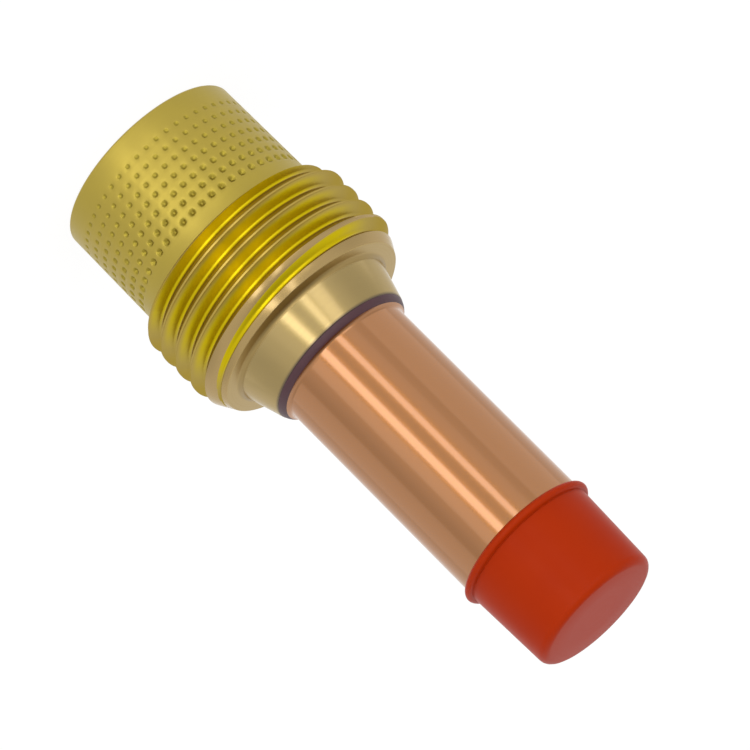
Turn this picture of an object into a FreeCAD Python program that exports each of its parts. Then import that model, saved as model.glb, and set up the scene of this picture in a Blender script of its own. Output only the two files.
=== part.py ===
# Gas lens collet body for a large TIG torch, with its protective cap.
# Millimetres. Z is the axis of every turned piece. Z = 0 is the rear face, where the torch screws in,
# and the cap is at the top.
import FreeCAD, Part
import math
import os

# Collet body: knurled grip head
head_radius = 8.5
head_length = 10.94
head_edge_chamfer = 0.3

# Collet body: collar with the outside thread for the gas nozzle
thread_radius = 10.0
thread_length = 6.07
collar_rear_chamfer = 0.46
collar_rear_step = 0.36
collar_front_chamfer = 1.89
collar_front_step = 1.12

# Collet body: conical spigot
spigot_wall = 0.84
spigot_taper = 0.91
spigot_length = 3.24
spigot_root_chamfer = 0.3

# Collet body: threaded socket for the torch, and the web at its bottom
socket_radius = 6.5
socket_mouth_chamfer = 0.7
socket_depth = 8.2
socket_relief_length = 1.2
socket_relief_step = 0.35
web_thickness = 5.8

# Copper lens sleeve: the gas gap round the tube, its steps outwards, and its lengths
gas_gap = 1.4
lens_seat_step = 0.3
nose_wall = 0.6
sleeve_shoulder_step = 0.75
sleeve_reach = 21.35
sleeve_shoulder_chamfer = 0.2
nose_length = 5.65
nose_edge_chamfer = 0.35

# Seal ring on the sleeve
seal_height = 0.95
seal_thickness = 0.72

# Collet tube, from its bore outwards
tube_bore_radius = 2.2
tube_wall = 0.6
plate_shoulder_step = 0.3
tube_root_length = 7.5
tube_collar_step = 0.5
tube_flange_step = 1.0
tube_flange_thickness = 0.8
tube_stand_out = 0.8
tube_tip_chamfer = 0.4
electrode_hole_radius = 1.65
electrode_hole_length = 3.2
collet_seat_length = 0.95
port_radius = 0.9
port_count = 4
port_height = 3.4

# Distributor plate
plate_thickness = 1.0
plate_hole_margin = 0.25
plate_hole_count = 10

# Lens stack: screens, the rings between them and the ring that holds them in
screen_count = 5
screen_thickness = 0.25
spacer_height = 1.2
spacer_width = 0.5
retainer_height = 0.8
retainer_width = 0.62
retainer_recess = 0.55

# Protective cap
cap_wall = 0.71
cap_end_wall = 0.6
cap_taper = 0.25
cap_head_space = 1.5
cap_end_round = 0.4
bead_stand_out = 0.44
bead_height = 0.95

# Straight steps in a quarter of each round, and flat sides of each screen and spacer ring
round_steps = 2
stack_sides = 24

# Clearances
press_clearance = 0.03
stack_clearance = 0.05
cap_clearance = 0.1
cap_stand_off = 0.1

# Radii that fit one another, from the collet's bore outwards
tube_radius = tube_bore_radius + tube_wall
tube_root_radius = tube_radius + plate_shoulder_step
tube_collar_radius = tube_root_radius + tube_collar_step
tube_flange_radius = tube_collar_radius + tube_flange_step
sleeve_bore_radius = tube_radius + gas_gap
lens_bore_radius = sleeve_bore_radius + lens_seat_step
nose_radius = lens_bore_radius + nose_wall
sleeve_radius = nose_radius + sleeve_shoulder_step
sleeve_seat_radius = sleeve_radius + press_clearance
spigot_tip_radius = sleeve_radius + spigot_wall
spigot_root_radius = spigot_tip_radius + spigot_taper
cap_mouth_radius = nose_radius + cap_clearance + cap_wall
cap_end_radius = cap_mouth_radius - cap_taper

# Heights that several pieces share, from the rear face up
thread_start = head_length + collar_rear_chamfer
thread_end = thread_start + thread_length
collar_face = thread_end + collar_front_chamfer
spigot_tip = collar_face + spigot_length
flange_top = socket_depth + tube_flange_thickness
web_top = socket_depth + web_thickness
plate_seat = web_top + tube_root_length
sleeve_shoulder = spigot_tip + sleeve_reach
nose_tip = sleeve_shoulder + nose_length
stack_height = screen_count * screen_thickness + (screen_count - 1) * spacer_height + retainer_height
lens_seat = nose_tip - retainer_recess - stack_height
tube_tip = nose_tip + tube_stand_out
cap_mouth = sleeve_shoulder + cap_stand_off
cap_inner_end = tube_tip + cap_head_space
cap_tip = cap_inner_end + cap_end_wall


class Outline:
    """Half of a turned section, drawn as radius and height, then spun round the Z axis."""

    def __init__(self, radius, height):
        self.start = FreeCAD.Vector(radius, 0, height)
        self.end = self.start
        self.edges = []

    def line(self, radius, height):
        point = FreeCAD.Vector(radius, 0, height)
        self.edges.append(Part.LineSegment(self.end, point).toShape())
        self.end = point
        return self

    def bulge(self, width, length, steps, sweep_from, sweep_to):
        """A round with few faces: part of an ellipse of that half width and half length, in steps."""
        first = math.radians(sweep_from)
        last = math.radians(sweep_to)
        centre_radius = self.end.x - width * math.cos(first)
        centre_height = self.end.z - length * math.sin(first)
        for step in range(1, steps + 1):
            turn = first + (last - first) * step / steps
            self.line(centre_radius + width * math.cos(turn), centre_height + length * math.sin(turn))
        return self

    def spin(self):
        if self.end.distanceToPoint(self.start) > 1e-7:
            self.line(self.start.x, self.start.z)
        face = Part.Face(Part.Wire(self.edges))
        return face.revolve(FreeCAD.Vector(0, 0, 0), FreeCAD.Vector(0, 0, 1), 360)


def ring(inner_radius, outer_radius, bottom, height):
    outline = Outline(inner_radius, bottom)
    outline.line(outer_radius, bottom)
    outline.line(outer_radius, bottom + height)
    outline.line(inner_radius, bottom + height)
    return outline.spin()


def many_sided_ring(inner_radius, outer_radius, bottom, height):
    """A ring with flat sides, for the thin pieces that repeat: its corners keep to the outer radius
    and its hole clears the inner one."""
    half_side = math.pi / stack_sides
    rims = []
    for radius in (outer_radius, inner_radius / math.cos(half_side)):
        corners = []
        for side in range(stack_sides + 1):
            turn = 2 * half_side * side
            corners.append(FreeCAD.Vector(radius * math.cos(turn), radius * math.sin(turn), bottom))
        rims.append(Part.Face(Part.makePolygon(corners)))
    return rims[0].cut(rims[1]).extrude(FreeCAD.Vector(0, 0, height))


def drill(hole_radius, angle, start_radius, reach, height, sideways):
    """A drill's body, at an angle round the axis: sideways through a wall, or along the axis."""
    turn = math.radians(angle)
    base = FreeCAD.Vector(start_radius * math.cos(turn), start_radius * math.sin(turn), height)
    if sideways:
        way = FreeCAD.Vector(math.cos(turn), math.sin(turn), 0)
    else:
        way = FreeCAD.Vector(0, 0, 1)
    return Part.makeCylinder(hole_radius, reach, base, way)


def collet_body():
    tube_seat_radius = tube_collar_radius + press_clearance
    flange_seat_radius = tube_flange_radius + press_clearance
    relief_radius = socket_radius + socket_relief_step
    body = Outline(socket_radius + socket_mouth_chamfer, 0)
    body.line(head_radius - head_edge_chamfer, 0)
    body.line(head_radius, head_edge_chamfer)
    body.line(head_radius, head_length)
    body.line(thread_radius - collar_rear_step, head_length)
    body.line(thread_radius, thread_start)
    body.line(thread_radius, thread_end)
    body.line(thread_radius - collar_front_step, collar_face)
    body.line(spigot_root_radius + spigot_root_chamfer, collar_face)
    body.line(spigot_root_radius, collar_face + spigot_root_chamfer)
    body.line(spigot_tip_radius, spigot_tip)
    body.line(sleeve_seat_radius, spigot_tip)
    body.line(sleeve_seat_radius, web_top)
    body.line(tube_seat_radius, web_top)
    body.line(tube_seat_radius, flange_top)
    body.line(flange_seat_radius, flange_top)
    body.line(flange_seat_radius, socket_depth)
    body.line(relief_radius, socket_depth)
    body.line(relief_radius, socket_depth - socket_relief_length)
    body.line(socket_radius, socket_depth - socket_relief_length - socket_relief_step)
    body.line(socket_radius, socket_mouth_chamfer)
    return body.spin()


def lens_sleeve():
    sleeve = Outline(sleeve_bore_radius, web_top)
    sleeve.line(sleeve_radius, web_top)
    sleeve.line(sleeve_radius, sleeve_shoulder - sleeve_shoulder_chamfer)
    sleeve.line(sleeve_radius - sleeve_shoulder_chamfer, sleeve_shoulder)
    sleeve.line(nose_radius, sleeve_shoulder)
    sleeve.line(nose_radius, nose_tip - nose_edge_chamfer)
    sleeve.line(nose_radius - nose_edge_chamfer, nose_tip)
    sleeve.line(lens_bore_radius, nose_tip)
    sleeve.line(lens_bore_radius, lens_seat)
    sleeve.line(sleeve_bore_radius, lens_seat)
    return sleeve.spin()


def nozzle_seal_ring():
    """A ring squeezed against the sleeve and the spigot's tip, so that it bulges to the front."""
    seal = Outline(sleeve_seat_radius, spigot_tip)
    seal.line(sleeve_seat_radius + seal_thickness, spigot_tip)
    seal.bulge(seal_thickness, seal_height, round_steps, 0, 90)
    return seal.spin()


def collet_tube():
    hole_start = tube_tip - electrode_hole_length
    tube = Outline(tube_bore_radius, socket_depth)
    tube.line(tube_flange_radius, socket_depth)
    tube.line(tube_flange_radius, flange_top)
    tube.line(tube_collar_radius, flange_top)
    tube.line(tube_collar_radius, web_top)
    tube.line(tube_root_radius, web_top)
    tube.line(tube_root_radius, plate_seat)
    tube.line(tube_radius, plate_seat)
    tube.line(tube_radius, tube_tip - tube_tip_chamfer)
    tube.line(tube_radius - tube_tip_chamfer, tube_tip)
    tube.line(electrode_hole_radius, tube_tip)
    tube.line(electrode_hole_radius, hole_start)
    tube.line(tube_bore_radius, hole_start - collet_seat_length)
    shape = tube.spin()
    # The gas leaves the tube through a row of ports just past the web
    ports = []
    for index in range(port_count):
        angle = 360 / port_count * index
        ports.append(drill(port_radius, angle, 0, tube_collar_radius, web_top + port_height,
                           sideways=True))
    return shape.cut(Part.makeCompound(ports))


def distributor_plate():
    inner = tube_radius + stack_clearance
    outer = sleeve_bore_radius - stack_clearance
    plate = ring(inner, outer, plate_seat, plate_thickness)
    hole_radius = (outer - inner) / 2 - plate_hole_margin
    holes = []
    for index in range(plate_hole_count):
        angle = 360 / plate_hole_count * index
        holes.append(drill(hole_radius, angle, (inner + outer) / 2, plate_thickness, plate_seat,
                           sideways=False))
    return plate.cut(Part.makeCompound(holes))


def lens_stack():
    """The screens, with a spacer ring after each but the last, and then the retaining ring."""
    pieces = {}
    inner = tube_radius + stack_clearance
    outer = lens_bore_radius - stack_clearance
    height = lens_seat
    for number in range(1, screen_count + 1):
        pieces[f"lens_screen_{number}"] = many_sided_ring(inner, outer, height, screen_thickness)
        height += screen_thickness
        if number < screen_count:
            pieces[f"spacer_ring_{number}"] = many_sided_ring(outer - spacer_width, outer, height,
                                                              spacer_height)
            height += spacer_height
    pieces["retaining_ring"] = ring(outer - retainer_width, outer, height, retainer_height)
    return pieces


def protective_cap():
    inner_radius = nose_radius + cap_clearance
    cap = Outline(inner_radius, cap_mouth)
    cap.line(cap_mouth_radius, cap_mouth)
    cap.bulge(bead_stand_out, bead_height / 2, 2 * round_steps, -90, 90)
    cap.line(cap_end_radius, cap_tip - cap_end_round)
    cap.bulge(cap_end_round, cap_end_round, round_steps, 0, 90)
    cap.line(0, cap_tip)
    cap.line(0, cap_inner_end)
    cap.line(inner_radius, cap_inner_end)
    return cap.spin()


def build():
    pieces = {
        "collet_body": collet_body(),
        "lens_sleeve": lens_sleeve(),
        "nozzle_seal_ring": nozzle_seal_ring(),
        "collet_tube": collet_tube(),
        "distributor_plate": distributor_plate(),
        "protective_cap": protective_cap(),
    }
    pieces.update(lens_stack())
    os.makedirs("parts", exist_ok=True)
    for name, shape in pieces.items():
        shape.exportStep(f"parts/{name}.step")
        print(name, "solids", len(shape.Solids), "volume", round(shape.Volume, 2))


build()
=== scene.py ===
import bpy
import bmesh
import math
from mathutils import Matrix, Vector


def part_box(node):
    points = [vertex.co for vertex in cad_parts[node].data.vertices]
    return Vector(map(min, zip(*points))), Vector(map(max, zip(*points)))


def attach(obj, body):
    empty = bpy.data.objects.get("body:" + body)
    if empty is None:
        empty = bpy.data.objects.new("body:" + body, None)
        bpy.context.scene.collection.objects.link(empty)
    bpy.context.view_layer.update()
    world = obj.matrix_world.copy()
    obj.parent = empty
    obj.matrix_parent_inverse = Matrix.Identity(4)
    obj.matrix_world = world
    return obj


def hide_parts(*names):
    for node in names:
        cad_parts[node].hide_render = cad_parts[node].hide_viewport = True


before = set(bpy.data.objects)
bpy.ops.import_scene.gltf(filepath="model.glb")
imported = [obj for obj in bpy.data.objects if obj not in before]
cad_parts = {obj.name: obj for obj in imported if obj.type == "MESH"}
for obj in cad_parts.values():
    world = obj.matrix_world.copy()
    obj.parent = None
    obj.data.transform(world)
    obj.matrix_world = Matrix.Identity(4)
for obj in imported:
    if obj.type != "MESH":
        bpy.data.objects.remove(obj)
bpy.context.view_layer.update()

# A gas lens collet body with its protective cap. Sizes are in mm, and heights count from the rear face.
mm = 0.001
fullTurn = 2 * math.pi
fineRing = 204  # segments round every large turned piece: 51 knurl columns of 4 faces
smallRing = 96
fitGap = 0.03  # between the sleeve and what it sits in


def nodeTop(node):
    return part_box(node)[1].z / mm


def nodeBottom(node):
    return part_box(node)[0].z / mm


def nodeRadius(node):
    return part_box(node)[1].y / mm


# Mesh helpers

# turns a bmesh in millimetres into an object in metres
def finishMesh(bm, name, sharpAngle=35):
    bmesh.ops.scale(bm, vec=(mm, mm, mm), verts=bm.verts)
    mesh = bpy.data.meshes.new(name)
    bm.to_mesh(mesh)
    bm.free()
    for face in mesh.polygons:
        face.use_smooth = True
    mesh.set_sharp_from_angle(angle=math.radians(sharpAngle))
    piece = bpy.data.objects.new(name, mesh)
    bpy.context.scene.collection.objects.link(piece)
    return piece


# spins radius and height pairs round Z; an open outline leaves two open rims
def spinOutline(outline, steps, closed=True):
    bm = bmesh.new()
    corners = [bm.verts.new((radius, 0, height)) for radius, height in outline]
    pairs = list(zip(corners, corners[1:]))
    if closed:
        pairs.append((corners[-1], corners[0]))
    edges = [bm.edges.new(pair) for pair in pairs]
    bmesh.ops.spin(bm, geom=corners + edges, cent=(0, 0, 0), axis=(0, 0, 1), angle=fullTurn,
                   steps=steps, use_merge=True)
    bmesh.ops.remove_doubles(bm, verts=bm.verts, dist=1e-5)
    bmesh.ops.recalc_face_normals(bm, faces=bm.faces)
    return bm


# rounds the circular edge at each (radius, height) by a width
def roundRims(bm, rims, segments=3):
    for radius, height, width in rims:
        ring = []
        for edge in bm.edges:
            ends = edge.verts
            near = all(abs(v.co.z - height) < 1e-3 for v in ends)
            if near and all(abs(v.co.to_2d().length - radius) < 1e-3 for v in ends):
                ring.append(edge)
        bmesh.ops.bevel(bm, geom=ring, offset=width, segments=segments, profile=0.5,
                        affect="EDGES", material=-1)


# a closed ridge wound round Z; section is radius and height pairs round its own middle
def helixCutter(section, pitch, turns, start, steps):
    bm = bmesh.new()
    corners = [bm.verts.new((radius, 0, start + height)) for radius, height in section]
    edges = [bm.edges.new(pair) for pair in zip(corners, corners[1:] + corners[:1])]
    bmesh.ops.spin(bm, geom=corners + edges, cent=(0, 0, 0), axis=(0, 0, 1), dvec=(0, 0, pitch / steps),
                   angle=fullTurn, steps=steps)
    oneTurn = bm.verts[:] + bm.edges[:] + bm.faces[:]
    for turn in range(1, turns):
        copied = bmesh.ops.duplicate(bm, geom=oneTurn)["geom"]
        moved = [item for item in copied if isinstance(item, bmesh.types.BMVert)]
        bmesh.ops.translate(bm, vec=(0, 0, pitch * turn), verts=moved)
    bmesh.ops.remove_doubles(bm, verts=bm.verts, dist=1e-4)
    bmesh.ops.holes_fill(bm, edges=bm.edges, sides=len(section))
    bmesh.ops.recalc_face_normals(bm, faces=bm.faces)
    return bm


# takes closed cutters out of a closed bmesh and gives back what is left
def cutAway(bm, cutters):
    block = finishMesh(bm, "cutBlock")
    tools = [finishMesh(cutter, "cutTool") for cutter in cutters]
    for tool in tools:
        cut = block.modifiers.new("cut", "BOOLEAN")
        cut.operation = "DIFFERENCE"
        cut.solver = "MANIFOLD"
        cut.object = tool
    depsgraph = bpy.context.evaluated_depsgraph_get()
    result = bmesh.new()
    result.from_mesh(block.evaluated_get(depsgraph).to_mesh())
    for scratch in [block] + tools:
        bpy.data.objects.remove(scratch)
    bmesh.ops.scale(result, vec=(1 / mm, 1 / mm, 1 / mm), verts=result.verts)
    return result


# gives a piece its materials and the body it moves with, and hides the node it stands for; slot is not
# used
def place(piece, carrier, slot, node, *materials):
    for material in materials:
        piece.data.materials.append(material)
    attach(piece, carrier)
    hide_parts(node)
    return piece


# Materials

def nodeMaker(tree):
    def make(kind, **values):
        node = tree.nodes.new(kind)
        for name, value in values.items():
            setattr(node, name, value)
        return node
    return make


def link(tree, source, target):
    tree.links.new(source, target)


# fine tool marks of a lathe: bands across the axis on walls, rings on flat faces
def turnedSurfaceGroup():
    group = bpy.data.node_groups.new("turnedSurface", "ShaderNodeTree")
    face = group.interface
    for name, value in (("Marks per mm", 9.0), ("Blotch size mm", 3.0), ("Blotch length", 1.0),
                        ("Seed", 0.0)):
        face.new_socket(name, in_out="INPUT", socket_type="NodeSocketFloat").default_value = value
    for name in ("Marks", "Blotches", "Radius mm"):
        face.new_socket(name, in_out="OUTPUT", socket_type="NodeSocketFloat")
    make = nodeMaker(group)
    given = make("NodeGroupInput")
    out = make("NodeGroupOutput")
    position = make("ShaderNodeTexCoord")
    inMm = make("ShaderNodeVectorMath", operation="SCALE")
    inMm.inputs["Scale"].default_value = 1 / mm
    link(group, position.outputs["Object"], inMm.inputs[0])
    split = make("ShaderNodeSeparateXYZ")
    link(group, inMm.outputs[0], split.inputs[0])
    flat = make("ShaderNodeCombineXYZ")
    link(group, split.outputs["X"], flat.inputs["X"])
    link(group, split.outputs["Y"], flat.inputs["Y"])
    radius = make("ShaderNodeVectorMath", operation="LENGTH")
    link(group, flat.outputs[0], radius.inputs[0])
    along = make("ShaderNodeMath", operation="ADD")
    link(group, split.outputs["Z"], along.inputs[0])
    link(group, radius.outputs["Value"], along.inputs[1])
    shifted = make("ShaderNodeMath", operation="ADD")
    link(group, along.outputs[0], shifted.inputs[0])
    link(group, given.outputs["Seed"], shifted.inputs[1])
    marks = make("ShaderNodeTexNoise", noise_dimensions="1D")
    marks.inputs["Detail"].default_value = 3.0
    link(group, shifted.outputs[0], marks.inputs["W"])
    link(group, given.outputs["Marks per mm"], marks.inputs["Scale"])
    perMm = make("ShaderNodeMath", operation="DIVIDE")
    perMm.inputs[0].default_value = 1.0
    link(group, given.outputs["Blotch size mm"], perMm.inputs[1])
    blotches = make("ShaderNodeTexNoise", noise_dimensions="4D")
    blotches.inputs["Detail"].default_value = 4.0
    shorter = make("ShaderNodeMath", operation="DIVIDE")
    link(group, split.outputs["Z"], shorter.inputs[0])
    link(group, given.outputs["Blotch length"], shorter.inputs[1])
    drawn = make("ShaderNodeCombineXYZ")
    link(group, split.outputs["X"], drawn.inputs["X"])
    link(group, split.outputs["Y"], drawn.inputs["Y"])
    link(group, shorter.outputs[0], drawn.inputs["Z"])
    link(group, drawn.outputs[0], blotches.inputs["Vector"])
    link(group, given.outputs["Seed"], blotches.inputs["W"])
    link(group, perMm.outputs[0], blotches.inputs["Scale"])
    link(group, marks.outputs["Fac"], out.inputs["Marks"])
    link(group, blotches.outputs["Fac"], out.inputs["Blotches"])
    link(group, radius.outputs["Value"], out.inputs["Radius mm"])
    return group


turnedSurface = turnedSurfaceGroup()


# Metal or plastic with tool marks. The look holds its colours, its roughness and how far they vary.
# It may give a rim or mouth colour that takes over between two radii in mm, and an edge colour that
# takes over where the surface is seen at a slant.
def turnedMaterial(name, look):
    material = bpy.data.materials.new(name)
    material.use_nodes = True
    tree = material.node_tree
    make = nodeMaker(tree)
    shader = tree.nodes["Principled BSDF"]
    shader.inputs["Metallic"].default_value = look["metallic"]
    shader.inputs["Specular IOR Level"].default_value = look.get("specular", 0.5)
    shader.inputs["Specular Tint"].default_value = (*look.get("edgeTint", (1, 1, 1)), 1)
    shader.inputs["Coat Weight"].default_value = look.get("coat", 0.0)
    shader.inputs["Coat Roughness"].default_value = look.get("coatRoughness", 0.1)
    shader.inputs["Coat IOR"].default_value = look.get("coatIor", 1.5)
    surface = make("ShaderNodeGroup")
    surface.node_tree = turnedSurface
    surface.inputs["Marks per mm"].default_value = look["marksPerMm"]
    surface.inputs["Blotch size mm"].default_value = look["blotchMm"]
    surface.inputs["Blotch length"].default_value = look.get("blotchLength", 1.0)
    surface.inputs["Seed"].default_value = look["seed"]
    colour = make("ShaderNodeMix", data_type="RGBA")
    colour.inputs["A"].default_value = (*look["colour"], 1)
    colour.inputs["B"].default_value = (*look["secondColour"], 1)
    link(tree, surface.outputs["Blotches"], colour.inputs["Factor"])
    finish = colour.outputs["Result"]
    for zone in ("rim", "mouth", "edge"):
        if zone + "Colour" not in look:
            continue
        measure = surface.outputs["Radius mm"]
        if zone == "edge":
            measure = make("ShaderNodeLayerWeight").outputs["Facing"]
        mask = make("ShaderNodeMapRange", interpolation_type="SMOOTHSTEP")
        mask.inputs["From Min"].default_value = look[zone + "From"]
        mask.inputs["From Max"].default_value = look[zone + "To"]
        link(tree, measure, mask.inputs["Value"])
        tinted = make("ShaderNodeMix", data_type="RGBA")
        tinted.inputs["B"].default_value = (*look[zone + "Colour"], 1)
        link(tree, mask.outputs["Result"], tinted.inputs["Factor"])
        link(tree, finish, tinted.inputs["A"])
        finish = tinted.outputs["Result"]
    link(tree, finish, shader.inputs["Base Color"])
    rough = make("ShaderNodeMapRange")
    rough.inputs["To Min"].default_value = look["roughness"] - look["roughnessVaries"]
    rough.inputs["To Max"].default_value = look["roughness"] + look["roughnessVaries"]
    link(tree, surface.outputs["Marks"], rough.inputs["Value"])
    link(tree, rough.outputs["Result"], shader.inputs["Roughness"])
    depth = make("ShaderNodeMath", operation="MULTIPLY")
    depth.inputs[1].default_value = look["markDepthMm"]
    link(tree, surface.outputs["Marks"], depth.inputs[0])
    height = make("ShaderNodeMath", operation="MULTIPLY_ADD")
    height.inputs[1].default_value = look.get("blotchDepthMm", 0.0)
    link(tree, surface.outputs["Blotches"], height.inputs[0])
    link(tree, depth.outputs[0], height.inputs[2])
    bump = make("ShaderNodeBump")
    bump.inputs["Distance"].default_value = mm
    link(tree, height.outputs[0], bump.inputs["Height"])
    link(tree, bump.outputs["Normal"], shader.inputs["Normal"])
    return material


headBrass = turnedMaterial("headBrass", {
    "metallic": 1.0, "colour": (0.435, 0.333, 0.057), "secondColour": (0.395, 0.302, 0.06),
    "roughness": 0.42, "roughnessVaries": 0.06,
    "marksPerMm": 6.0, "markDepthMm": 0.0035, "blotchMm": 2.5, "seed": 1.0,
})
# a darker brass for inside the knurl pits: painted shade in the pits
pitShadeBrass = turnedMaterial("pitShadeBrass", {
    "metallic": 1.0, "colour": (0.36, 0.285, 0.035), "secondColour": (0.31, 0.24, 0.04),
    "roughness": 0.45, "roughnessVaries": 0.08,
    "marksPerMm": 3.0, "markDepthMm": 0.008, "blotchMm": 0.5, "seed": 1.5,
})
# deep yellow in the grooves is painted reflection, standing in for light bounced between the flanks;
# towards the crests and where seen at a slant it gives way to a paler, browner brass
threadBrass = turnedMaterial("threadBrass", {
    "metallic": 1.0, "colour": (0.595, 0.462, 0.006), "secondColour": (0.545, 0.422, 0.006),
    "rimColour": (0.43, 0.31, 0.07), "rimFrom": 9.6, "rimTo": 9.98,
    "edgeColour": (0.41, 0.31, 0.11), "edgeFrom": 0.27, "edgeTo": 0.6,
    "edgeTint": (0.7, 0.6, 0.3), "roughness": 0.32, "roughnessVaries": 0.01,
    "marksPerMm": 3.0, "markDepthMm": 0, "blotchMm": 1.5, "seed": 2.0,
})
# also on the front chamfer, which is a little browner; dark at the tip next to the ring, which is painted
# shade in the notch between ring and spigot
spigotBrass = turnedMaterial("spigotBrass", {
    "metallic": 1.0, "colour": (0.38, 0.266, 0.081), "secondColour": (0.35, 0.245, 0.076),
    "rimColour": (0.375, 0.246, 0.073), "rimFrom": 8.0, "rimTo": 8.6,
    "mouthColour": (0.09, 0.055, 0.025), "mouthFrom": 6.66, "mouthTo": 6.575,
    "edgeTint": (0.8, 0.7, 0.5), "roughness": 0.22, "roughnessVaries": 0.04,
    "coat": 0.6, "coatRoughness": 0.15, "coatIor": 1.75,
    "marksPerMm": 9.0, "markDepthMm": 0.0015, "blotchMm": 2.0, "seed": 3.0,
})
# a darker brass for the collar face and root fillet: painted shade in the relief round the spigot root,
# lighter outward of 7.9 mm radius
shadedFaceBrass = turnedMaterial("shadedFaceBrass", {
    "metallic": 1.0, "colour": (0.35, 0.245, 0.093), "secondColour": (0.33, 0.23, 0.087),
    "rimColour": (0.45, 0.32, 0.12), "rimFrom": 7.65, "rimTo": 7.9,
    "roughness": 0.38, "roughnessVaries": 0.05,
    "marksPerMm": 9.0, "markDepthMm": 0.0018, "blotchMm": 1.0, "seed": 3.5,
})
boreBrass = turnedMaterial("boreBrass", {
    "metallic": 1.0, "colour": (0.55, 0.40, 0.12), "secondColour": (0.48, 0.35, 0.12),
    "roughness": 0.32, "roughnessVaries": 0.06,
    "marksPerMm": 8.0, "markDepthMm": 0.0024, "blotchMm": 2.0, "seed": 4.0,
})
sleeveCopper = turnedMaterial("sleeveCopper", {
    "metallic": 1.0, "colour": (0.335, 0.118, 0.011), "secondColour": (0.32, 0.11, 0.009),
    "edgeTint": (0.85, 0.62, 0.45), "roughness": 0.23, "roughnessVaries": 0.04,
    "coat": 0.95, "coatRoughness": 0.11, "coatIor": 1.76,
    "marksPerMm": 14.0, "markDepthMm": 0.00075,
    "blotchMm": 0.9, "blotchLength": 9.0, "blotchDepthMm": 0.008, "seed": 5.0,
})
sealRubber = turnedMaterial("sealRubber", {
    "metallic": 0.0, "colour": (0.075, 0.028, 0.035), "secondColour": (0.055, 0.022, 0.028),
    "specular": 0.3, "roughness": 0.45, "roughnessVaries": 0.06,
    "marksPerMm": 3.0, "markDepthMm": 0.001, "blotchMm": 1.0, "seed": 6.0,
})
capPlastic = turnedMaterial("capPlastic", {
    "metallic": 0.0, "colour": (0.375, 0.0265, 0.0014), "secondColour": (0.345, 0.0215, 0.0014),
    "specular": 0.05, "roughness": 0.34, "roughnessVaries": 0.015,
    "marksPerMm": 2.0, "markDepthMm": 0.00015, "blotchMm": 3.0, "seed": 7.0,
})
ringSteel = turnedMaterial("ringSteel", {
    "metallic": 1.0, "colour": (0.58, 0.57, 0.55), "secondColour": (0.50, 0.49, 0.48),
    "roughness": 0.3, "roughnessVaries": 0.06,
    "marksPerMm": 10.0, "markDepthMm": 0.0015, "blotchMm": 1.5, "seed": 8.0,
})
screenWire = turnedMaterial("screenWire", {
    "metallic": 1.0, "colour": (0.52, 0.51, 0.50), "secondColour": (0.42, 0.41, 0.40),
    "roughness": 0.28, "roughnessVaries": 0.05,
    "marksPerMm": 4.0, "markDepthMm": 0.0004, "blotchMm": 1.0, "seed": 9.0,
})
print("materials made")


# Collet body: one brass turning with knurled head, cut thread and conical spigot

body = {
    "headRearRadius": 8.46, "headFrontRadius": 8.55, "headLength": 10.94, "rearChamfer": 0.15,
    "knurlColumns": 51, "knurlRows": 7, "knurlPitch": 1.10, "firstRow": 2.24, "knurlTurn": 0.02,
    "pitRear": 0.48, "pitFront": 0.72, "pitDepthRear": 0.1, "pitDepthFront": 0.24, "pitCornerEase": 0.8,
    "pitSteps": ((0.07, 0.1), (0.18, 0.62), (0.14, 0.28)),  # lip, wall and bottom: inset and depth shares
    "collarRearRadius": 9.64, "collarRearEnd": 11.4, "threadEnd": 17.45, "collarFace": 19.5,
    "collarFaceRadius": 8.88,
    "pitch": 1.75, "crestWidth": 0.18, "crestRound": 0.12, "crestEase": (0.3, 0.7),
    "grooveStart": 6.87, "grooveTurns": 8, "grooveDepth": 0.9,
    "cutterRise": 0.3, "cutterFlare": 0.12,  # how far the groove's cutter stands out of the thread
    "grooveRoot": ((0.84, 0.3), (0.915, 0.23), (0.967, 0.15), (0.992, 0.075)),  # depth and width shares
    "spigotRootRadius": 7.57, "spigotTipRadius": 6.58, "spigotTip": 22.92,
    "rootFillet": 0.36, "tipRound": 0.08, "faceRound": 0.06, "headRound": 0.12, "collarRound": 0.1,
    "chamferRound": 0.05,
    "socketRadius": 6.5, "socketMouth": 0.7, "socketDepth": 8.2, "reliefLength": 1.2, "reliefStep": 0.35,
    "socketPitch": 1.0, "socketStart": -1.6, "socketTurns": 9, "socketThreadDepth": 0.3,
    "socketThreadMouth": 0.3, "socketThreadRoot": 0.08, "socketThreadFlare": 0.06,
    "flangeTop": 9.0, "webTop": 14.0, "flangeSeat": 4.63, "tubeSeat": 3.63,
}


def headRadius(height):
    share = height / body["headLength"]
    return body["headRearRadius"] + share * (body["headFrontRadius"] - body["headRearRadius"])


# lower and upper end of the knurled band
def knurlEnds():
    low = body["firstRow"] - body["knurlPitch"] / 2
    return low, low + body["knurlRows"] * body["knurlPitch"]


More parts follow.
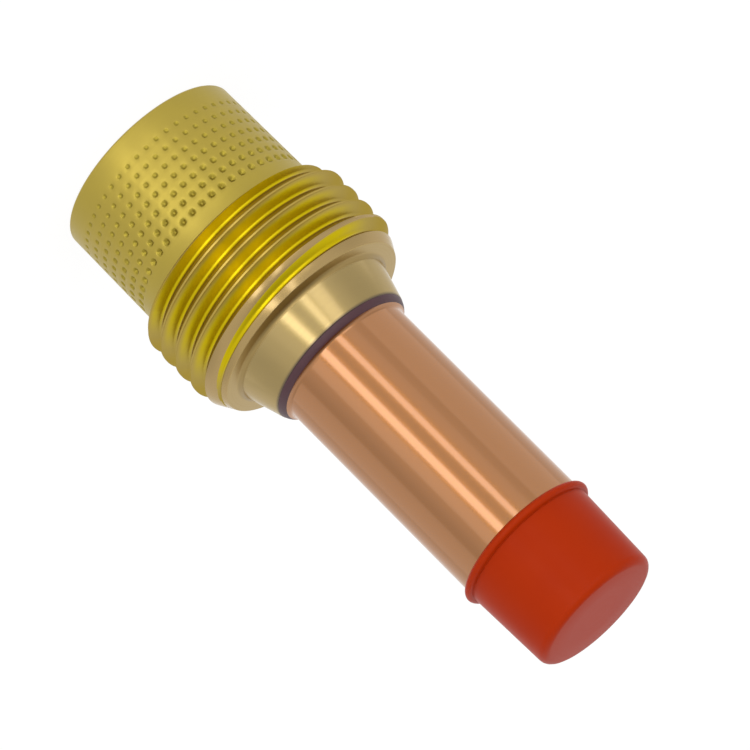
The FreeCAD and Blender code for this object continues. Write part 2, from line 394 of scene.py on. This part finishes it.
# one column of pits, first as a flat strip: X the way round, Y the height, Z out of the wall
def knurlColumn():
    rows = body["knurlRows"]
    pitch = body["knurlPitch"]
    low, high = knurlEnds()
    width = fullTurn * headRadius(body["headLength"] / 2) / body["knurlColumns"]
    bm = bmesh.new()
    bmesh.ops.create_grid(bm, x_segments=4, y_segments=4 * rows, size=0.5)
    bmesh.ops.scale(bm, vec=(width, high - low, 1), verts=bm.verts)
    bmesh.ops.translate(bm, vec=(width / 2, (low + high) / 2, 0), verts=bm.verts)
    for row in range(rows):
        middle = Vector((width / 2, body["firstRow"] + row * pitch, 0))
        share = row / (rows - 1)
        size = body["pitRear"] + share * (body["pitFront"] - body["pitRear"])
        depth = body["pitDepthRear"] + share * (body["pitDepthFront"] - body["pitDepthRear"])
        pit = [face for face in bm.faces
               if abs(face.calc_center_median().x - middle.x) < width / 4
               and abs(face.calc_center_median().y - middle.y) < pitch / 4]
        rim = list({vert for face in pit for vert in face.verts})
        bmesh.ops.scale(bm, vec=(size / (width / 2), size / (pitch / 2), 1), verts=rim,
                        space=Matrix.Translation(-middle))
        # the four corners come in, which makes the square pit round
        corners = [vert for vert in rim if (vert.co - middle).length > size * 0.6]
        ease = body["pitCornerEase"]
        bmesh.ops.scale(bm, vec=(ease, ease, 1), verts=corners, space=Matrix.Translation(-middle))
        for insetShare, depthShare in body["pitSteps"]:
            bmesh.ops.inset_region(bm, faces=pit, thickness=size * insetShare,
                                   depth=-depth * depthShare, use_boundary=True,
                                   use_even_offset=True)
    for vert in bm.verts:
        turn = vert.co.x / width * fullTurn / body["knurlColumns"]
        radius = headRadius(vert.co.y) + vert.co.z
        vert.co = Vector((radius * math.cos(turn), radius * math.sin(turn), vert.co.y))
    return bm


# the turning without its threads: the outline leaves the knurled band open, and the columns fill it
def turnedBlank():
    low, high = knurlEnds()
    threadRadius = nodeRadius("collet_body")
    spigotTip = body["spigotTip"]
    sleeveSeat = nodeRadius("lens_sleeve") + fitGap
    reliefRadius = body["socketRadius"] + body["reliefStep"]
    reliefStart = body["socketDepth"] - body["reliefLength"]
    bm = spinOutline([
        (headRadius(high), high),
        (body["headFrontRadius"], body["headLength"]),
        (body["collarRearRadius"], body["headLength"]),
        (threadRadius, body["collarRearEnd"]),
        (threadRadius, body["threadEnd"]),
        (body["collarFaceRadius"], body["collarFace"]),
        (body["spigotRootRadius"], body["collarFace"]),
        (body["spigotTipRadius"], spigotTip),
        (sleeveSeat, spigotTip),
        (sleeveSeat, body["webTop"]),
        (body["tubeSeat"], body["webTop"]),
        (body["tubeSeat"], body["flangeTop"]),
        (body["flangeSeat"], body["flangeTop"]),
        (body["flangeSeat"], body["socketDepth"]),
        (reliefRadius, body["socketDepth"]),
        (reliefRadius, reliefStart),
        (body["socketRadius"], reliefStart - body["reliefStep"]),
        (body["socketRadius"], body["socketMouth"]),
        (body["socketRadius"] + body["socketMouth"], 0),
        (headRadius(0) - body["rearChamfer"], 0),
        (headRadius(body["rearChamfer"]), body["rearChamfer"]),
        (headRadius(low), low),
    ], fineRing, closed=False)
    column = knurlColumn()
    spare = body["knurlColumns"] - 1
    bmesh.ops.spin(column, geom=column.verts[:] + column.edges[:] + column.faces[:], cent=(0, 0, 0),
                   axis=(0, 0, 1), angle=fullTurn * spare / body["knurlColumns"], steps=spare,
                   use_duplicate=True)
    band = bpy.data.meshes.new("knurlBand")
    column.to_mesh(band)
    column.free()
    bm.from_mesh(band)
    bpy.data.meshes.remove(band)
    bmesh.ops.remove_doubles(bm, verts=bm.verts, dist=1e-3)
    bmesh.ops.recalc_face_normals(bm, faces=bm.faces)
    roundRims(bm, [(body["spigotRootRadius"], body["collarFace"], body["rootFillet"])], segments=6)
    roundRims(bm, [
        (body["spigotTipRadius"], spigotTip, body["tipRound"]),
        (body["collarFaceRadius"], body["collarFace"], body["faceRound"]),
        (body["headFrontRadius"], body["headLength"], body["headRound"]),
        (body["collarRearRadius"], body["headLength"], body["collarRound"]),
        (headRadius(0) - body["rearChamfer"], 0, body["chamferRound"]),
        (headRadius(body["rearChamfer"]), body["rearChamfer"], body["chamferRound"]),
    ])
    bmesh.ops.rotate(bm, cent=(0, 0, 0), verts=bm.verts,
                     matrix=Matrix.Rotation(math.radians(body["knurlTurn"]), 3, "Z"))
    return bm


# the outside groove: steep flanks, a wide round root and eased crest edges, open at the top
def grooveCutter():
    crest = nodeRadius("collet_body")
    halfMouth = (body["pitch"] - body["crestWidth"]) / 2
    deep = body["grooveDepth"]
    ease = body["crestRound"]
    upper, inner = body["crestEase"]
    half = [(crest + body["cutterRise"], halfMouth + body["cutterFlare"]),
            (crest - ease * upper, halfMouth), (crest - ease, halfMouth - ease * inner)]
    for depthShare, widthShare in body["grooveRoot"]:
        half.append((crest - deep * depthShare, halfMouth * widthShare))
    mirrored = [(radius, -height) for radius, height in reversed(half)]
    return helixCutter(half + [(crest - deep, 0)] + mirrored, body["pitch"], body["grooveTurns"],
                       body["grooveStart"], fineRing)


# the torch thread in the socket
def socketCutter():
    wall = body["socketRadius"]
    rise = body["socketThreadDepth"]
    mouth = body["socketThreadMouth"]
    root = body["socketThreadRoot"]
    flare = mouth + body["socketThreadFlare"]
    section = [(wall - rise, -flare), (wall, -mouth), (wall + rise, -root), (wall + rise, root),
               (wall, mouth), (wall - rise, flare)]
    return helixCutter(section, body["socketPitch"], body["socketTurns"], body["socketStart"], fineRing)


def makeColletBody():
    bm = cutAway(turnedBlank(), [grooveCutter(), socketCutter()])
    slots = {"head": 0, "thread": 1, "spigot": 2, "bore": 3, "pit": 4, "face": 5}
    low, high = knurlEnds()
    near = 0.02  # what still counts as being on a face
    nearChamfer = 0.012
    pitEdge = 0.03  # deeper than this under the head's wall is inside a pit
    rear = body["headLength"] - near
    filletTop = body["collarFace"] + body["rootFillet"] * 0.95
    threadRadius = nodeRadius("collet_body")
    taper = (threadRadius - body["collarFaceRadius"]) / (body["collarFace"] - body["threadEnd"])
    for face in bm.faces:
        middle = face.calc_center_median()
        radius = middle.to_2d().length
        outward = face.normal.to_2d().dot(middle.to_2d())
        bevel = threadRadius - taper * (middle.z - body["threadEnd"])
        onChamfer = middle.z > body["threadEnd"] and abs(radius - bevel) < nearChamfer
        aboveFace = middle.z > body["collarFace"] - near
        # the collar face and root fillet take the darker brass of painted shade
        if aboveFace and middle.z < filletTop:
            face.material_index = slots["face"]
        elif aboveFace or onChamfer:
            face.material_index = slots["spigot"]
        elif middle.z > rear and radius > body["headFrontRadius"]:
            face.material_index = slots["thread"]
        # faces deep in a pit get the darker brass of painted shade
        elif outward > 0 and low < middle.z < high and radius < headRadius(middle.z) - pitEdge:
            face.material_index = slots["pit"]
        elif outward > 0 or middle.z < near:
            face.material_index = slots["head"]
        inSocket = radius < body["socketRadius"] + body["socketMouth"] and outward < 0
        if inSocket or radius < body["socketRadius"] - 0.1:
            face.material_index = slots["bore"]
    piece = finishMesh(bm, "colletBody", sharpAngle=32)
    return place(piece, "lens_body", "turned_brass", "collet_body",
                 headBrass, threadBrass, spigotBrass, boreBrass, pitShadeBrass, shadedFaceBrass)


makeColletBody()
print("collet body made")


# Lens sleeve: drawn copper tube with a turned-down nose and a small flared foot in front of the ring

sleeve = {
    "bore": 4.2, "footBase": 23.47, "footReach": 0.34, "footHeight": 0.34, "footSag": 0.06,
    "footSteps": 4, "noseRadius": 5.1, "noseLength": 5.58, "lensBore": 4.5, "lensSeat": 42.2,
    "shoulderRound": 0.05, "noseRound": 0.25, "edgeRound": 0.12,
}


def makeSleeve():
    radius = nodeRadius("lens_sleeve")
    bottom = nodeBottom("lens_sleeve")
    top = nodeTop("lens_sleeve")
    shoulder = top - sleeve["noseLength"]
    base = sleeve["footBase"]
    foot = [(radius, base)]
    for step in range(sleeve["footSteps"] + 1):
        share = step / sleeve["footSteps"]
        sag = sleeve["footSag"] * math.sin(math.pi * share)
        foot.append((radius + sleeve["footReach"] * (1 - share) - sag,
                     max(base + sleeve["footHeight"] * share - sag, base)))
    bm = spinOutline([
        (sleeve["bore"], bottom), (radius, bottom), *foot, (radius, shoulder),
        (sleeve["noseRadius"], shoulder), (sleeve["noseRadius"], top), (sleeve["lensBore"], top),
        (sleeve["lensBore"], sleeve["lensSeat"]), (sleeve["bore"], sleeve["lensSeat"]),
    ], fineRing)
    roundRims(bm, [(radius, shoulder, sleeve["shoulderRound"]),
                   (sleeve["noseRadius"], top, sleeve["noseRound"]),
                   (sleeve["lensBore"], top, sleeve["edgeRound"])])
    return place(finishMesh(bm, "lensSleeve"), "lens_body", "copper", "lens_sleeve", sleeveCopper)


makeSleeve()


# Seal ring: squeezed between the tip of the spigot and the foot of the sleeve

seal = {"roundSteps": 8, "rimInset": 0.03, "swell": 0.035, "frontGap": 0.01}


def makeSeal():
    inner = nodeRadius("lens_sleeve") + fitGap
    bottom = body["spigotTip"]
    front = sleeve["footBase"] - seal["frontGap"]
    edge = nodeRadius("lens_sleeve") + sleeve["footReach"]
    rim = body["spigotTipRadius"] - seal["rimInset"]
    outline = [(inner, bottom), (rim, bottom)]
    for step in range(1, seal["roundSteps"] + 1):
        share = step / seal["roundSteps"]
        swell = seal["swell"] * math.sin(math.pi * share)
        outline.append((rim + (edge - rim) * share + swell, bottom + (front - bottom) * share + swell))
    outline.append((inner, front))
    bm = spinOutline(outline, fineRing)
    return place(finishMesh(bm, "nozzleSealRing", sharpAngle=50), "lens_body", "seal_rubber",
                 "nozzle_seal_ring", sealRubber)


makeSeal()


# Protective cap: soft plastic cap with a bead round its mouth

cap = {
    "mouthRadius": 5.91, "endRadius": 5.66, "innerRadius": 5.2, "endWall": 0.6,
    "beadRadius": 6.35, "beadHeight": 0.72, "beadSteps": 14, "grooveWidth": 0.1, "grooveDepth": 0.05,
    "endRound": 0.66, "innerRound": 0.3,
}


def makeCap():
    mouth = nodeBottom("protective_cap")
    tip = nodeTop("protective_cap")
    beadTop = mouth + cap["beadHeight"]
    outline = [(cap["innerRadius"], mouth)]
    for step in range(cap["beadSteps"] + 1):
        turn = math.pi * (step / cap["beadSteps"] - 0.5)
        outline.append((cap["mouthRadius"] + (cap["beadRadius"] - cap["mouthRadius"]) * math.cos(turn),
                        mouth + cap["beadHeight"] / 2 * (1 + math.sin(turn))))
    outline += [
        (cap["mouthRadius"] - cap["grooveDepth"], beadTop + cap["grooveWidth"] / 2),
        (cap["mouthRadius"], beadTop + cap["grooveWidth"]),
        (cap["endRadius"], tip),
        (cap["endRadius"] * 0.5, tip),
        (0, tip),
        (0, tip - cap["endWall"]),
        (cap["innerRadius"], tip - cap["endWall"]),
    ]
    bm = spinOutline(outline, fineRing)
    roundRims(bm, [(cap["endRadius"], tip, cap["endRound"]),
                   (cap["innerRadius"], tip - cap["endWall"], cap["innerRound"])], segments=5)
    return place(finishMesh(bm, "protectiveCap"), "cap", "red_plastic", "protective_cap", capPlastic)


makeCap()
print("sleeve, seal and cap made")


# Collet tube, distributor plate and the lens stack

tube = {
    "bore": 2.2, "wall": 0.6, "rootStep": 0.3, "rootLength": 7.5, "collarStep": 0.5,
    "flangeThickness": 0.8, "webTop": 14.0, "tipChamfer": 0.4, "electrodeHole": 1.65,
    "holeLength": 3.2, "seatLength": 0.95, "ports": 4, "portRadius": 0.9, "portHeight": 3.4,
    "holeRound": 0.12, "boreRound": 0.15,
}


def makeTube():
    bottom = nodeBottom("collet_tube")
    top = nodeTop("collet_tube")
    flange = nodeRadius("collet_tube")
    front = tube["bore"] + tube["wall"]
    root = front + tube["rootStep"]
    collar = root + tube["collarStep"]
    flangeTop = bottom + tube["flangeThickness"]
    plateSeat = tube["webTop"] + tube["rootLength"]
    holeStart = top - tube["holeLength"]
    bm = spinOutline([
        (tube["bore"], bottom), (flange, bottom), (flange, flangeTop), (collar, flangeTop),
        (collar, tube["webTop"]), (root, tube["webTop"]), (root, plateSeat), (front, plateSeat),
        (front, top - tube["tipChamfer"]), (front - tube["tipChamfer"], top),
        (tube["electrodeHole"], top), (tube["electrodeHole"], holeStart),
        (tube["bore"], holeStart - tube["seatLength"]),
    ], smallRing)
    roundRims(bm, [(tube["electrodeHole"], top, tube["holeRound"]),
                   (tube["bore"], bottom, tube["boreRound"])])
    # one drill makes two gas ports, as it goes right through
    ports = []
    for index in range(tube["ports"] // 2):
        drill = bmesh.new()
        bmesh.ops.create_cone(drill, cap_ends=True, segments=24, radius1=tube["portRadius"],
                              radius2=tube["portRadius"], depth=2 * flange)
        aim = Matrix.Rotation(fullTurn * index / tube["ports"], 4, "Z") @ Matrix.Rotation(
            math.pi / 2, 4, "Y")
        bmesh.ops.transform(drill, matrix=aim, verts=drill.verts)
        bmesh.ops.translate(drill, vec=(0, 0, tube["webTop"] + tube["portHeight"]), verts=drill.verts)
        ports.append(drill)
    bm = cutAway(bm, ports)
    return place(finishMesh(bm, "colletTube"), "lens_body", "inner_brass", "collet_tube", boreBrass)


makeTube()


stack = {
    "spacers": 4, "spacerWidth": 0.5, "retainerWidth": 0.62, "innerRound": 0.08, "outerRound": 0.06,
    "screens": 5, "turnBetween": 22.5, "hubGap": 0.05, "wirePitch": 0.3, "wireRadius": 0.055,
    "ribbonWidth": 1.6, "ribbonThickness": 1.4,  # in wire radii
    "waveSteps": 2,
}


def makeRing(node, name, width):
    outer = nodeRadius(node)
    inner = outer - width
    bottom = nodeBottom(node)
    top = nodeTop(node)
    bm = spinOutline([(inner, bottom), (outer, bottom), (outer, top), (inner, top)], smallRing)
    roundRims(bm, [(inner, top, stack["innerRound"]), (outer, top, stack["outerRound"])], segments=2)
    return place(finishMesh(bm, name), "lens_body", "stainless", node, ringSteel)


for number in range(1, stack["spacers"] + 1):
    makeRing(f"spacer_ring_{number}", f"spacerRing{number}", stack["spacerWidth"])
makeRing("retaining_ring", "retainingRing", stack["retainerWidth"])


# one set of wires of a plain weave, each a wavy ribbon cut to the ring
def wovenWires(bm, outer, inner, alongX):
    pitch = stack["wirePitch"]
    thick = stack["wireRadius"]
    count = int(outer / pitch)
    steps = 2 * count * stack["waveSteps"]
    for index in range(-count, count + 1):
        wire = bmesh.ops.create_grid(bm, x_segments=steps, y_segments=1, size=0.5)["verts"]
        bmesh.ops.scale(bm, vec=(2 * count * pitch, stack["ribbonWidth"] * thick, 1), verts=wire)
        for vert in wire:
            wave = math.cos(math.pi * (vert.co.x / pitch + index)) * thick
            vert.co.z = wave if alongX else -wave
            vert.co.y += index * pitch
            if not alongX:
                vert.co.x, vert.co.y = -vert.co.y, vert.co.x
    outside = [face for face in bm.faces
               if not inner < face.calc_center_median().to_2d().length < outer]
    bmesh.ops.delete(bm, geom=outside, context="FACES")


def makeScreen(number):
    node = f"lens_screen_{number}"
    outer = nodeRadius(node)
    inner = tube["bore"] + tube["wall"] + stack["hubGap"]
    middle = (nodeTop(node) + nodeBottom(node)) / 2
    bm = bmesh.new()
    wovenWires(bm, outer, inner, True)
    wovenWires(bm, outer, inner, False)
    bmesh.ops.solidify(bm, geom=bm.faces, thickness=stack["wireRadius"] * stack["ribbonThickness"])
    bmesh.ops.recalc_face_normals(bm, faces=bm.faces)
    turn = Matrix.Rotation(math.radians(stack["turnBetween"] * number), 3, "Z")
    bmesh.ops.rotate(bm, cent=(0, 0, 0), matrix=turn, verts=bm.verts)
    bmesh.ops.translate(bm, vec=(0, 0, middle), verts=bm.verts)
    return place(finishMesh(bm, f"lensScreen{number}", sharpAngle=60), "lens_body", "screen_wire",
                 node, screenWire)


for number in range(1, stack["screens"] + 1):
    makeScreen(number)

# the distributor plate stays the solid's own mesh
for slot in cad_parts["distributor_plate"].material_slots:
    slot.material = boreBrass
print("tube and lens stack made")


# Stage: pale floor, soft light and camera

stage = {
    "floorSize": 12.0,  # in m
    "floorColour": 0.8, "floorRoughness": 0.9,
    "background": 1.0, "shadowShare": 0.09, "thinPaper": 0.125,
    "worldColour": (0.95, 0.95, 0.96), "zenithShare": 0.5, "zenithFrom": 0.72, "zenithTo": 1.0,
    "sideShare": 0.8, "sideFrom": 0.78, "sideTo": 0.97, "panelDistance": 420,
    "cameraPlace": (-0.856, -405.6, 166.45), "lens": 263.5, "sensor": 36.0,
    "tiltDown": 19.1, "roll": 135.0,
}


# a Light Path node, and a mask that is 1 for rays out of mirror-like or clear surfaces
def rayKinds(tree, make):
    path = make("ShaderNodeLightPath")
    reflected = make("ShaderNodeMath", operation="MAXIMUM")
    link(tree, path.outputs["Is Glossy Ray"], reflected.inputs[0])
    link(tree, path.outputs["Is Transmission Ray"], reflected.inputs[1])
    return path, reflected.outputs[0]


def mixShaders(tree, make, mask, first, second):
    mix = make("ShaderNodeMixShader")
    link(tree, mask, mix.inputs[0])
    link(tree, first, mix.inputs[1])
    link(tree, second, mix.inputs[2])
    return mix.outputs[0]


def makeFloor():
    bm = bmesh.new()
    bmesh.ops.create_grid(bm, x_segments=1, y_segments=1, size=stage["floorSize"] / 2)
    mesh = bpy.data.meshes.new("floor")
    bm.to_mesh(mesh)
    bm.free()
    floor = bpy.data.objects.new("floor", mesh)
    bpy.context.scene.collection.objects.link(floor)
    material = bpy.data.materials.new("floorPaper")
    material.use_nodes = True
    tree = material.node_tree
    make = nodeMaker(tree)
    paper = tree.nodes["Principled BSDF"]
    paper.inputs["Base Color"].default_value = (*[stage["floorColour"]] * 3, 1)
    paper.inputs["Roughness"].default_value = stage["floorRoughness"]
    # the camera sees a glow just below white and a thin layer of paper that takes the shadow
    glow = make("ShaderNodeEmission")
    glow.inputs["Strength"].default_value = stage["background"] - stage["shadowShare"]
    thinPaper = make("ShaderNodeBsdfDiffuse")
    thinPaper.inputs["Color"].default_value = (*[stage["thinPaper"]] * 3, 1)
    white = make("ShaderNodeAddShader")
    link(tree, glow.outputs[0], white.inputs[0])
    link(tree, thinPaper.outputs[0], white.inputs[1])
    path, reflected = rayKinds(tree, make)
    seen = mixShaders(tree, make, path.outputs["Is Camera Ray"], paper.outputs[0], white.outputs[0])
    # mirror-like surfaces see the white world and the low ends of the light strips through it
    through = make("ShaderNodeMath", operation="MAXIMUM")
    link(tree, reflected, through.inputs[0])
    link(tree, path.outputs["Is Shadow Ray"], through.inputs[1])
    clear = make("ShaderNodeBsdfTransparent")
    both = mixShaders(tree, make, through.outputs[0], seen, clear.outputs[0])
    link(tree, both, tree.nodes["Material Output"].inputs["Surface"])
    mesh.materials.append(material)


def makeWorld():
    world = bpy.data.worlds.new("studio")
    bpy.context.scene.world = world
    world.use_nodes = True
    tree = world.node_tree
    make = nodeMaker(tree)
    # the studio is darker overhead and at the two sides
    direction = make("ShaderNodeTexCoord")
    split = make("ShaderNodeSeparateXYZ")
    link(tree, direction.outputs["Generated"], split.inputs[0])
    sideways = make("ShaderNodeMath", operation="ABSOLUTE")
    link(tree, split.outputs["X"], sideways.inputs[0])
    shade = make("ShaderNodeMath", operation="MULTIPLY")
    for index, (source, name) in enumerate(((split.outputs["Z"], "zenith"),
                                            (sideways.outputs[0], "side"))):
        dim = make("ShaderNodeMapRange", interpolation_type="SMOOTHSTEP")
        dim.inputs["From Min"].default_value = stage[name + "From"]
        dim.inputs["From Max"].default_value = stage[name + "To"]
        dim.inputs["To Min"].default_value = 1.0
        dim.inputs["To Max"].default_value = stage[name + "Share"]
        link(tree, source, dim.inputs["Value"])
        link(tree, dim.outputs["Result"], shade.inputs[index])
    soft = tree.nodes["Background"]
    soft.inputs["Color"].default_value = (*stage["worldColour"], 1)
    link(tree, shade.outputs[0], soft.inputs["Strength"])
    shiny = make("ShaderNodeBackground")
    link(tree, shade.outputs[0], shiny.inputs["Strength"])
    white = make("ShaderNodeBackground")
    white.inputs["Strength"].default_value = stage["background"]
    for paleSky in (shiny, white):
        paleSky.inputs["Color"].default_value = (1, 1, 1, 1)
    path, reflected = rayKinds(tree, make)
    inMetal = mixShaders(tree, make, reflected, soft.outputs[0], shiny.outputs[0])
    sky = mixShaders(tree, make, path.outputs["Is Camera Ray"], inMetal, white.outputs[0])
    link(tree, sky, tree.nodes["World Output"].inputs["Surface"])


# light panels round the object: how far each stands to the right of the camera and its half width in
# degrees, its lowest and highest point in mm, and its radiance above that of the room
lamps = {
    "rightStrip": (12.8, 6.1, -260, 480, 2.5),
    "leftStrip": (-17.6, 4.6, -210, 480, 2.1),
    "rightPanel": (34.0, 9.5, -150, 50, 0.5),
    "leftPanel": (-37.0, 8.0, -150, 50, 0.2),
    "rightHigh": (35.0, 8.0, 90, 300, 0.18),
    "leftHigh": (-36.0, 9.5, 90, 300, 1.15),
    "rightFill": (94.0, 20.0, -150, 50, 0.3),
    "leftFill": (-88.0, 28.0, -150, 50, 0.38),
}


def makeLamps():
    away = stage["panelDistance"]
    for name, (azimuth, halfWidth, low, high, radiance) in lamps.items():
        light = bpy.data.lights.new(name, "AREA")
        light.shape = "RECTANGLE"
        light.size = 2 * away * math.tan(math.radians(halfWidth)) * mm
        light.size_y = (high - low) * mm
        light.energy = radiance * math.pi * light.size * light.size_y
        lamp = bpy.data.objects.new(name, light)
        turn = math.radians(azimuth)
        lamp.location = Vector((math.sin(turn) * away, -math.cos(turn) * away, (low + high) / 2)) * mm
        toObject = Vector((-lamp.location.x, -lamp.location.y, 0))
        lamp.rotation_mode = "QUATERNION"
        lamp.rotation_quaternion = toObject.to_track_quat("-Z", "Y")
        lamp.visible_camera = False
        bpy.context.scene.collection.objects.link(lamp)


def makeCamera():
    data = bpy.data.cameras.new("camera")
    data.lens = stage["lens"]
    data.sensor_width = stage["sensor"]
    data.clip_start = 0.01
    camera = bpy.data.objects.new("camera", data)
    bpy.context.scene.collection.objects.link(camera)
    look = Matrix.Rotation(math.radians(90 - stage["tiltDown"]), 4, "X")
    roll = Matrix.Rotation(math.radians(stage["roll"]), 4, "Z")
    camera.matrix_world = Matrix.Translation(Vector(stage["cameraPlace"]) * mm) @ look @ roll
    bpy.context.scene.camera = camera


makeFloor()
makeWorld()
makeLamps()
makeCamera()
bpy.context.scene.view_settings.view_transform = "Standard"
print("stage made")
